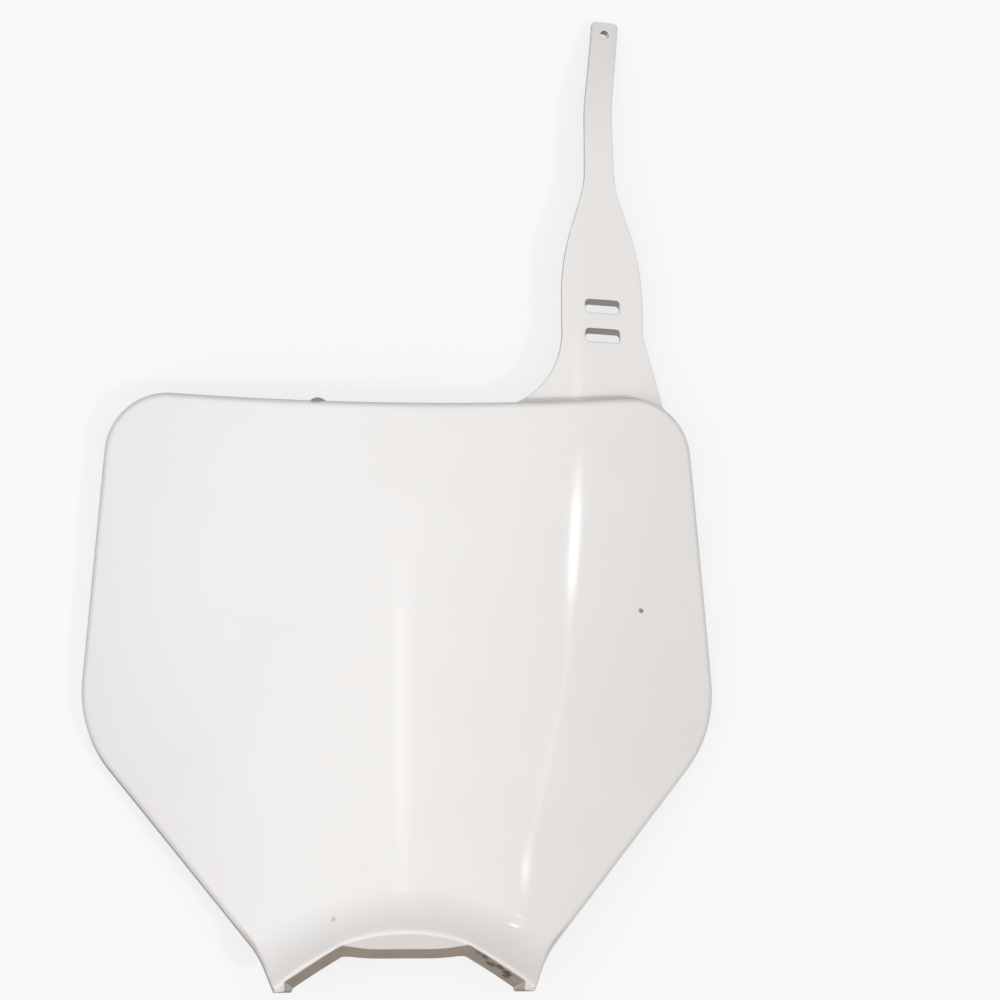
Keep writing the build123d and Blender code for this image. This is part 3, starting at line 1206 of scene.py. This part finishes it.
class Recipe:
    """The node tree of one material or of the world."""

    FIRST_COLOUR = 6
    SECOND_COLOUR = 7
    MIXED_COLOUR = 2

    def __init__(self, owner: bpy.types.Material | bpy.types.World) -> None:
        """Clears the owner's nodes.

        Args:
            owner: The material or the world.
        """
        owner.use_nodes = True
        self.tree = owner.node_tree
        self.tree.nodes.clear()

    def node(
        self, kind: str, settings: dict[str, Any], sockets: dict[str | int, Any], output: str | int = 0
    ) -> Value:
        """Adds a node.

        Args:
            kind: The node's type.
            settings: Its properties, which are set first.
            sockets: Values or links for its inputs, by name or number.
            output: Name or number of the output to return.

        Returns:
            That output.
        """
        made = self.tree.nodes.new(kind)
        for name, value in settings.items():
            setattr(made, name, value)
        for name, value in sockets.items():
            if isinstance(value, Value):
                self.tree.links.new(value.socket, made.inputs[name])
            else:
                made.inputs[name].default_value = value
        return Value(self, made.outputs[output] if made.outputs else None)

    def place(self) -> Value:
        """Object coordinates, in metres."""
        return self.node("ShaderNodeTexCoord", {}, {}, "Object")

    def facing(self, axis: str) -> Value:
        """One axis of the surface's normal."""
        return self.axis(self.node("ShaderNodeNewGeometry", {}, {}, "Normal"), axis)

    def axis(self, vector: Value, name: str) -> Value:
        """One axis of a vector."""
        return self.node("ShaderNodeSeparateXYZ", {}, {0: vector}, name)

    def noise(self, vector: Value, scale: float = 1.0, detail: float = 3.0) -> Value:
        """Smooth noise between about 0 and 1."""
        sockets = {"Vector": vector, "Scale": scale, "Detail": detail}
        return self.node("ShaderNodeTexNoise", {}, sockets, "Fac")

    def stretched(self, vector: Value, scale: Point, turn: float) -> Value:
        """Coordinates turned about Z and stretched, for streaks."""
        sockets = {"Vector": vector, "Rotation": (0, 0, turn), "Scale": scale}
        return self.node("ShaderNodeMapping", {}, sockets)

    def near(self, vector: Value, spot: Point, radius: float) -> Value:
        """1 at a spot, falling smoothly to 0 at the radius."""
        gap = self.node("ShaderNodeVectorMath", {"operation": "DISTANCE"}, {0: vector, 1: spot}, "Value")
        return gap.step(radius, 0.0)

    def mix(self, share: Value, first: Value | Colour, second: Value | Colour) -> Value:
        """Blends two colours."""
        sockets = {0: share, self.FIRST_COLOUR: first, self.SECOND_COLOUR: second}
        return self.node("ShaderNodeMix", {"data_type": "RGBA"}, sockets, self.MIXED_COLOUR)

    def bump(self, height: Value, strength: float, distance: float) -> Value:
        """A Bump node's normal."""
        return self.node("ShaderNodeBump", {}, {"Height": height, "Strength": strength, "Distance": distance})


@dataclass(frozen=True)
class Blot:
    """A dark spot: its middle, its radius and how dark it is."""

    place: Point
    radius: float
    strength: float


@dataclass(frozen=True)
class Scratches:
    """Fine scratches that run one way: the stretch, turn and detail of their noise, and its mask."""

    stretch: Point
    turn: float
    detail: float
    mask: Ramp


@dataclass(frozen=True)
class WhitePlastic:
    """Glossy white moulded plastic: faint clouding, handling scratches, grime with painted shade on the
    walls, and dark specks.

    Specks are placed in millimetres on the drawing's datum. A ramp is where a mask is 0 and where it is 1.
    Ramps named for X or Y are places in the frame, in metres, those named for a facing are parts of the
    surface's normal, and the others are parts of a noise.
    """

    colour: Colour = (0.815, 0.795, 0.782, 1.0)
    cloud: Colour = (0.755, 0.733, 0.718, 1.0)
    # Colour of grime with painted shade: darkens the walls and the flat above the notch as if they lay in
    # shade.
    grime_shade_colour: Colour = (0.38, 0.305, 0.245, 1.0)
    # Colour of the painted shade in the slots, and of the dark specks.
    dirt_shade_colour: Colour = (0.05, 0.042, 0.036, 1.0)
    refraction: float = 1.49
    roughness: float = 0.06
    scuffed_roughness: float = 0.22
    wall_roughness: float = 0.85
    gloss_scale: float = 60.0
    gloss_spread: float = 0.05
    soft_detail: float = 2.0
    ripple_scale: float = 70.0
    ripple_strength: float = 0.1
    ripple_m: float = 0.0001
    cloud_scale: float = 14.0
    cloud_mask: Ramp = (0.35, 0.75)
    cloud_share: float = 0.45
    # Darker towards the foot: where the darkening starts and ends, and how much.
    foot_darkening_y: Ramp = (-0.02, -0.17)
    foot_darkening_share: float = 0.55
    scuff_scale: float = 28.0
    scuff_mask: Ramp = (0.48, 0.7)
    scratches: tuple[Scratches, ...] = (
        Scratches((30.0, 900.0, 30.0), 0.5, 3.0, (0.62, 0.78)),
        Scratches((1400.0, 40.0, 40.0), 0.2, 2.0, (0.64, 0.8)),
    )
    upright_facing: Ramp = (0.5, 0.15)
    foot_facing: Ramp = (-0.55, -0.75)
    notch_x: Ramp = (0.0495, 0.0475)
    notch_y: Ramp = (-0.174, -0.182)
    notch_facing: Ramp = (0.3, 0.1)
    flat_facing: Ramp = (-0.12, -0.24)
    # Shares of grime with painted shade on the flat and on the rim walls, and the patches of both.
    flat_grime_shade: float = 0.34
    rim_grime_shade: float = 0.25
    grime_shade_scale: float = 120.0
    grime_shade_spread: float = 0.3
    grime_shade_least: float = 0.75
    # Where the strap starts, and the facing and share of painted shade on its slots' far walls.
    strap_y: Ramp = (0.05, 0.055)
    slot_facing: Ramp = (-0.3, -0.5)
    slot_shade_share: float = 0.7
    rag_scale: float = 600.0
    rag_spread: float = 2.4
    rag_least: float = -0.2
    mark_reach: float = 2.0
    mark_mask: Ramp = (0.15, 0.75)
    specks: tuple[Blot, ...] = (
        Blot((96.1, 154.4, -14.4), 0.9, 0.7),
        Blot((-27.9, 31.7, -1.6), 0.9, 0.3),
        # A dark mark on the gate lump.
        Blot((-34.2, 239.2, -6.6), 3.4, 0.75),
        # Dark marks on the notch's right wall.
        Blot((28.6, 18.4, -1.0), 1.2, 0.6),
        Blot((31.0, 17.0, -1.2), 1.5, 0.7),
        Blot((33.4, 14.4, -4.0), 1.7, 0.8),
        Blot((36.8, 13.0, -2.4), 1.7, 0.75),
        Blot((39.8, 10.6, -3.8), 1.9, 0.85),
        Blot((39.4, 9.6, -7.0), 1.5, 0.75),
    )

    def build(self) -> bpy.types.Material:
        """Makes the material.

        Returns:
            The material.
        """
        material = bpy.data.materials.new("white_plastic_moulded")
        recipe = Recipe(material)
        place = recipe.place()
        walls = self._walls(recipe)
        ripple = recipe.noise(place, self.ripple_scale, self.soft_detail)
        sockets = {
            "Base Color": self._colour(recipe, place, walls),
            "Roughness": self._roughness(recipe, place, walls),
            "Normal": recipe.bump(ripple, self.ripple_strength, self.ripple_m),
            "IOR": self.refraction,
        }
        shader = recipe.node("ShaderNodeBsdfPrincipled", {}, sockets)
        recipe.node("ShaderNodeOutputMaterial", {}, {"Surface": shader})
        return material

    def _colour(self, recipe: Recipe, place: Value, walls: Value) -> Value:
        """White with clouding, darker towards the foot, under grime with painted shade, painted shade in the
        slots, and specks.

        Args:
            recipe: The material's nodes.
            place: Object coordinates.
            walls: 1 on the matt walls.

        Returns:
            The colour.
        """
        darkened = recipe.noise(place, self.cloud_scale).step(*self.cloud_mask) * self.cloud_share
        # Darker towards the foot.
        darkened = darkened + recipe.axis(place, "Y").step(*self.foot_darkening_y) * self.foot_darkening_share
        colour = recipe.mix(darkened, self.colour, self.cloud)
        # Painted shade with some grime: darkest on the notch's wall, less on the other walls and the flat
        # above the notch.
        colour = recipe.mix(self._grime_and_shade(recipe, place, walls), colour, self.grime_shade_colour)
        # Painted shade on the far walls of the slots and eyelet.
        colour = recipe.mix(self._slot_shade(recipe, place), colour, self.dirt_shade_colour)
        ragged = recipe.noise(place, self.rag_scale) * self.rag_spread + self.rag_least
        for blot in self.specks:
            spot = tuple(to_frame(blot.place).tolist())
            near = recipe.near(place, spot, blot.radius * self.mark_reach * MM)
            mark = (near * ragged).step(*self.mark_mask)
            colour = recipe.mix(mark * blot.strength, colour, self.dirt_shade_colour)
        return colour

    def _roughness(self, recipe: Recipe, place: Value, walls: Value) -> Value:
        """Roughness: gloss that varies a little, duller on scuffs, and matt on the walls.

        Args:
            recipe: The material's nodes.
            place: Object coordinates.
            walls: 1 on the matt walls.

        Returns:
            The roughness.
        """
        least = self.roughness - self.gloss_spread / 2
        gloss = recipe.noise(place, self.gloss_scale) * self.gloss_spread + least
        scuffed = self._scuffs(recipe, place) * (self.scuffed_roughness - self.roughness)
        return gloss + scuffed + walls * (self.wall_roughness - self.roughness)

    def _scuffs(self, recipe: Recipe, place: Value) -> Value:
        """Fine scratches in two directions, in loose patches.

        Args:
            recipe: The material's nodes.
            place: Object coordinates.

        Returns:
            0 on clean plastic, and more on scratches.
        """
        runs = []
        for run in self.scratches:
            stretched = recipe.stretched(place, run.stretch, run.turn)
            runs.append(recipe.noise(stretched, detail=run.detail).step(*run.mask))
        patches = recipe.noise(place, self.scuff_scale, self.soft_detail).step(*self.scuff_mask)
        return sum(runs[1:], runs[0]) * patches

    def _walls(self, recipe: Recipe) -> Value:
        """1 on the matt walls: faces that stand upright, and those that look towards the foot.

        Args:
            recipe: The material's nodes.

        Returns:
            The mask, 1 - (1 - upright) * (1 - towards the foot).
        """
        upright = recipe.facing("Z").step(*self.upright_facing)
        to_foot = recipe.facing("Y").step(*self.foot_facing)
        return 1 - (1 - upright) * (1 - to_foot)

    def _grime_and_shade(self, recipe: Recipe, place: Value, walls: Value) -> Value:
        """Share of grime and painted shade: most on the notch's wall, less on other walls and on the flat
        above it.

        Args:
            recipe: The material's nodes.
            place: Object coordinates.
            walls: 1 on the matt walls.

        Returns:
            The share of grime and painted shade.
        """
        near_notch = recipe.axis(place, "Y").step(*self.notch_y)
        flat = recipe.facing("Y").step(*self.flat_facing) * near_notch
        notch = recipe.axis(place, "X").away(0.0).step(*self.notch_x) * near_notch
        notch = notch * recipe.facing("Y").step(*self.notch_facing)
        # Painted shade on walls that stand upright or face the foot, most on the notch's wall.
        wall_share = walls * (notch * (1 - self.rim_grime_shade) + self.rim_grime_shade)
        flat_share = flat * (1 - walls) * self.flat_grime_shade
        patchy = recipe.noise(place, self.grime_shade_scale) * self.grime_shade_spread + self.grime_shade_least
        return (wall_share + flat_share) * patchy

    def _slot_shade(self, recipe: Recipe, place: Value) -> Value:
        """Painted shade on the far walls of the strap's slots and eyelet, which face the foot."""
        on_strap = recipe.axis(place, "Y").step(*self.strap_y)
        return recipe.facing("Y").step(*self.slot_facing) * on_strap * self.slot_shade_share


@dataclass
class NumberBoard:
    """The whole moulding: shield, strap and gate lump in one skin of white plastic."""

    finish: WhitePlastic = field(default_factory=WhitePlastic)

    def build(self) -> None:
        """Makes the board's mesh, dresses it and hides the plain solid."""
        shield = Shield(FrontFace())
        surface = Surface()
        for part in (shield, Strap(shield), GateLump(shield)):
            before = surface.count
            part.build(surface)
            LOG.info("%s: %d points", type(part).__name__, surface.count - before)
        board = surface.build("board_moulding")
        board.data.materials.append(self.finish.build())
        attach(board, "root")
        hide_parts(NODE)
        LOG.info("%s: %d faces", board.name, len(board.data.polygons))


@dataclass
class Table:
    """The pale table under the board: nearly white where it is seen, and darker to bounced light."""

    half_m: float = 3.0
    shown: Colour = (0.94, 0.94, 0.94, 1.0)
    white: Colour = (0.935, 0.935, 0.935, 1.0)
    bounced: Colour = (0.25, 0.245, 0.24, 1.0)
    white_share: float = 0.83
    direct_rays: tuple[str, ...] = ("Camera", "Glossy", "Transmission")

    def build(self) -> None:
        """Makes the table top."""
        corner = np.array([[-1, -1, 0], [1, -1, 0], [1, 1, 0], [-1, 1, 0]], float) * self.half_m
        mesh = bpy.data.meshes.new("table_top")
        mesh.from_pydata(corner.tolist(), [], [(0, 1, 2, 3)])
        mesh.materials.append(self._finish())
        linked("table_top", mesh)
        LOG.info("table_top: stage")

    def _finish(self) -> bpy.types.Material:
        """Matt white, mixed with plain white light for rays that come from the camera, gloss or glass.

        Returns:
            The material.
        """
        material = bpy.data.materials.new("table_white")
        recipe = Recipe(material)
        seen = [recipe.node("ShaderNodeLightPath", {}, {}, f"Is {ray} Ray") for ray in self.direct_rays]
        direct = sum(seen[1:], seen[0])
        matt = recipe.node("ShaderNodeBsdfDiffuse", {}, {"Color": self.shown})
        white = recipe.node("ShaderNodeEmission", {}, {"Color": self.white, "Strength": 1.0})
        bounce = recipe.node("ShaderNodeBsdfDiffuse", {}, {"Color": self.bounced})
        shown = recipe.node("ShaderNodeMixShader", {}, {0: self.white_share, 1: matt, 2: white})
        shader = recipe.node("ShaderNodeMixShader", {}, {0: direct, 1: bounce, 2: shown})
        recipe.node("ShaderNodeOutputMaterial", {}, {"Surface": shader})
        return material


@dataclass
class Studio:
    """Light from a pale ceiling, dim walls, a long lamp at the right wall, a faint one overhead, and a key.

    Directions are slopes: how far a direction leans along X and Y for each unit up. A ramp is where a mask
    is 0 and where it is 1.
    """

    ceiling: float = 2.76
    ceiling_falloff: int = 4
    walls: float = 0.06
    lean: Point = (-0.17, -0.20, 0.965)
    cool: Colour = (0.975, 0.99, 1.0, 1.0)
    warm: Colour = (1.0, 0.975, 0.95, 1.0)
    warmth: Ramp = (-0.7, 0.7)
    lowest_up: float = 0.02
    wall_line: float = 0.585
    wall_turn_y: float = 0.12
    wall_edge: Ramp = (0.02, -0.02)
    right_wall_share: float = 0.45
    tube_radiance: float = 11.0
    tube_gap: Ramp = (0.024, 0.008)
    tube_start: Ramp = (0.155, 0.195)
    tube_end: Ramp = (0.25, 0.21)
    tail_share: float = 0.16
    tail_gap: Ramp = (0.012, 0.004)
    tail_start: Ramp = (-0.02, 0.03)
    tail_end: Ramp = (0.275, 0.255)
    spot_share: float = 1.5
    spot_gap: Ramp = (0.018, 0.006)
    spot_y: float = 0.009
    spot_reach: Ramp = (0.005, 0.002)
    soft_radiance: float = 2.0
    soft_slope: tuple[float, float] = (0.058, 0.1)
    soft_across: Ramp = (0.036, 0.0)
    soft_along: Ramp = (0.11, 0.03)
    key_slope: tuple[float, float] = (0.5, -0.42)
    key_strength: float = 0.9
    key_size: float = math.radians(5.0)

    def build(self) -> None:
        """Sets the world and adds the key.

        The ceiling's light is a power of the cosine to the lean. It drops to a share beyond the right wall's
        line, which turns inward below one slope along Y.
        """
        world = bpy.data.worlds.new("room")
        bpy.context.scene.world = world
        recipe = Recipe(world)
        look = recipe.node("ShaderNodeTexCoord", {}, {}, "Generated")
        up = recipe.axis(look, "Z").at_least(self.lowest_up)
        slope_x = recipe.axis(look, "X") / up
        slope_y = recipe.axis(look, "Y") / up
        cosine = {"operation": "DOT_PRODUCT"}
        lift = recipe.node("ShaderNodeVectorMath", cosine, {0: look, 1: self.lean}, "Value")
        line = self.wall_line - (self.wall_turn_y - slope_y).at_least(0.0)
        room = lift.at_least(0.0) ** self.ceiling_falloff * (self.ceiling - self.walls)
        open_side = (slope_x - line).step(*self.wall_edge)
        room = room * (open_side * (1 - self.right_wall_share) + self.right_wall_share)
        strength = room + self.walls + self._tube(slope_x - line, slope_y) + self._soft(slope_x, slope_y)
        colour = recipe.mix(slope_x.step(*self.warmth), self.cool, self.warm)
        light = recipe.node("ShaderNodeBackground", {}, {"Color": colour, "Strength": strength})
        recipe.node("ShaderNodeOutputWorld", {}, {"Surface": light})
        self._key()

    def _tube(self, across: Value, along: Value) -> Value:
        """The long lamp at the wall's line: one bright stretch, a thin faint tail, and a spot near its foot.

        Args:
            across: Slope along X from the wall's line.
            along: Slope along Y.

        Returns:
            The lamp's radiance.
        """
        gap = across.away(0.0)
        bright = gap.step(*self.tube_gap) * along.step(*self.tube_start) * along.step(*self.tube_end)
        tail = gap.step(*self.tail_gap) * along.step(*self.tail_start) * along.step(*self.tail_end)
        spot = gap.step(*self.spot_gap) * along.away(self.spot_y).step(*self.spot_reach)
        return (bright + tail * self.tail_share + spot * self.spot_share) * self.tube_radiance

    def _soft(self, slope_x: Value, slope_y: Value) -> Value:
        """The radiance of a faint soft lamp overhead."""
        across, along = (slope.away(middle) for slope, middle in zip((slope_x, slope_y), self.soft_slope))
        return across.step(*self.soft_across) * along.step(*self.soft_along) * self.soft_radiance

    def _key(self) -> None:
        """Adds the soft key, far off on the near right, which throws the faint shadow to the left."""
        data = bpy.data.lights.new("soft_key", "SUN")
        data.energy = self.key_strength
        data.angle = self.key_size
        back = Vector((*self.key_slope, 1.0)).normalized()
        linked("soft_key", data).matrix_world = back.to_track_quat("Z", "Y").to_matrix().to_4x4()
        LOG.info("soft_key: lamp")


@dataclass
class PhotoCamera:
    """The camera that took the photograph: angles in degrees, lengths in millimetres."""

    pivot: Point = (0.0, 120.0, 0.0)
    distance: float = 1225.0
    yaw: float = 5.72
    pitch: float = 10.0
    roll: float = 0.47
    right: float = 37.35
    up: float = 75.02
    lens: float = 112.5
    sensor: float = 36.0

    def build(self) -> None:
        """Makes the camera and the scene's view settings."""
        yaw, pitch, roll = (math.radians(angle) for angle in (self.yaw, self.pitch, self.roll))
        level = np.array([math.cos(yaw), 0.0, math.sin(yaw)])
        tall = np.array([-math.sin(yaw) * math.sin(pitch), math.cos(pitch), math.cos(yaw) * math.sin(pitch)])
        right = math.cos(roll) * level - math.sin(roll) * tall
        up = math.sin(roll) * level + math.cos(roll) * tall
        back = np.cross(right, up)
        place = to_frame(np.array(self.pivot) + right * self.right + up * self.up + back * self.distance)
        data = bpy.data.cameras.new("photo_camera")
        data.lens = self.lens
        data.sensor_width = self.sensor
        camera = linked("photo_camera", data)
        turn = Matrix((tuple(right), tuple(up), tuple(back))).transposed()
        camera.matrix_world = Matrix.Translation(Vector(place)) @ turn.to_4x4()
        bpy.context.scene.camera = camera
        bpy.context.scene.view_settings.view_transform = "Standard"
        LOG.info("photo_camera: camera")


def main() -> None:
    """Builds the board, the table, the light and the camera."""
    logging.basicConfig(level=logging.INFO, format="%(name)s: %(message)s")
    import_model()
    for part in (NumberBoard(), Table(), Studio(), PhotoCamera()):
        part.build()


if __name__ == "__main__":
    main()
